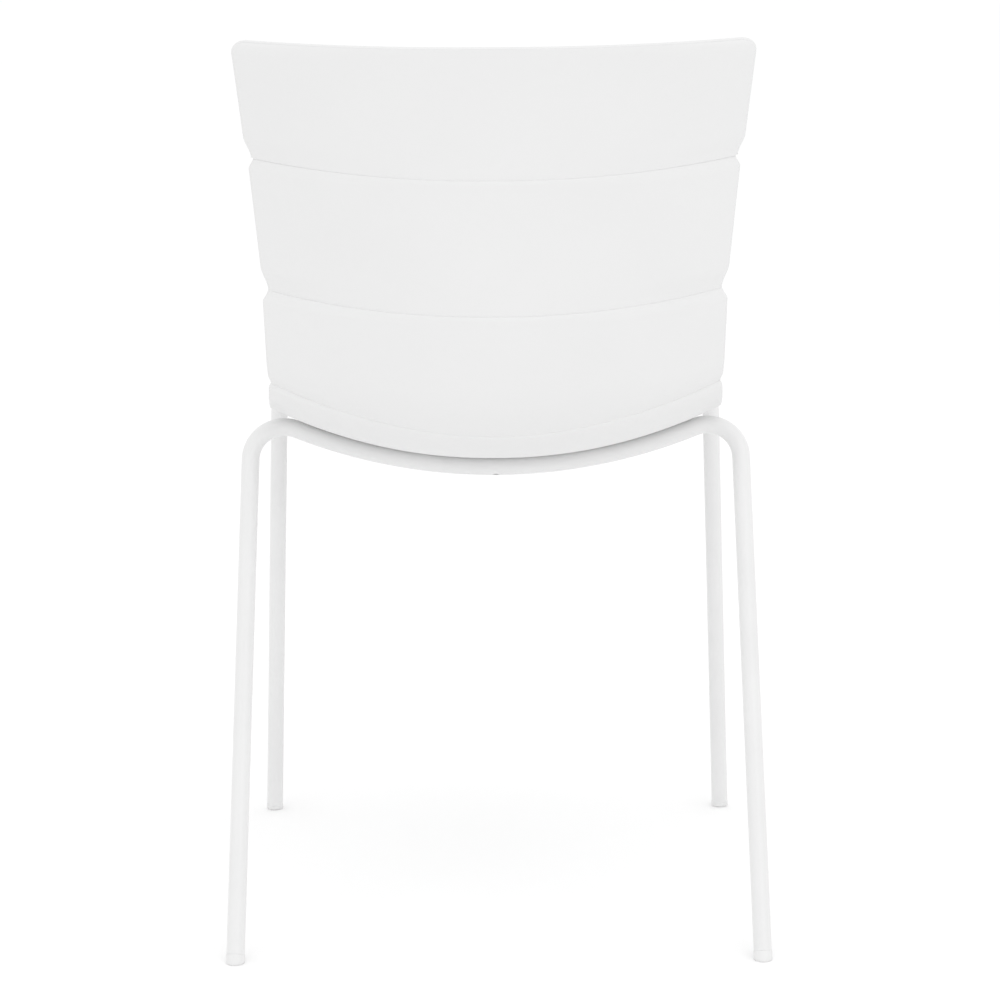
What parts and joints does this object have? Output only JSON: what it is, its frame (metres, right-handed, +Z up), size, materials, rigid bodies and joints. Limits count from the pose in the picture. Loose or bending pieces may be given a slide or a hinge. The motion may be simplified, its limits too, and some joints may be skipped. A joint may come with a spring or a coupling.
{
  "type": "stacking chair",
  "caption": "Armless stacking chair with a one-piece banded plastic seat and back shell on a frame of two bent steel tube hoops.",
  "frame": {"origin": "on the floor, under the middle of the chair's bounding box", "axes": "+Z up; the sitter faces -Y, so the back is on the +Y side; +X is the chair's side-to-side direction, named right in the node names"},
  "size_m": [0.4766, 0.5628, 0.7974],
  "materials": {
    "shell_plastic": "satin moulded polypropylene, fine grain",
    "frame_paint": "semi-gloss white powder coat",
    "zinc_steel": "bright zinc plate",
    "insert_brass": "turned",
    "glide_plastic": "white moulded polyethylene"
  },
  "bodies": {
    "root": {"seat_shell": "shell_plastic", "rear_hoop": "frame_paint", "front_hoop": "frame_paint", "bearer_left": "frame_paint", "bearer_right": "frame_paint", "screw_rear_left": "zinc_steel", "screw_rear_right": "zinc_steel", "screw_front_left": "zinc_steel", "screw_front_right": "zinc_steel", "washer_rear_left": "zinc_steel", "washer_rear_right": "zinc_steel", "washer_front_left": "zinc_steel", "washer_front_right": "zinc_steel", "insert_rear_left": "insert_brass", "insert_rear_right": "insert_brass", "insert_front_left": "insert_brass", "insert_front_right": "insert_brass", "glide_rear_left": "glide_plastic", "glide_rear_right": "glide_plastic", "glide_front_left": "glide_plastic", "glide_front_right": "glide_plastic"}
  },
  "joints": []
}
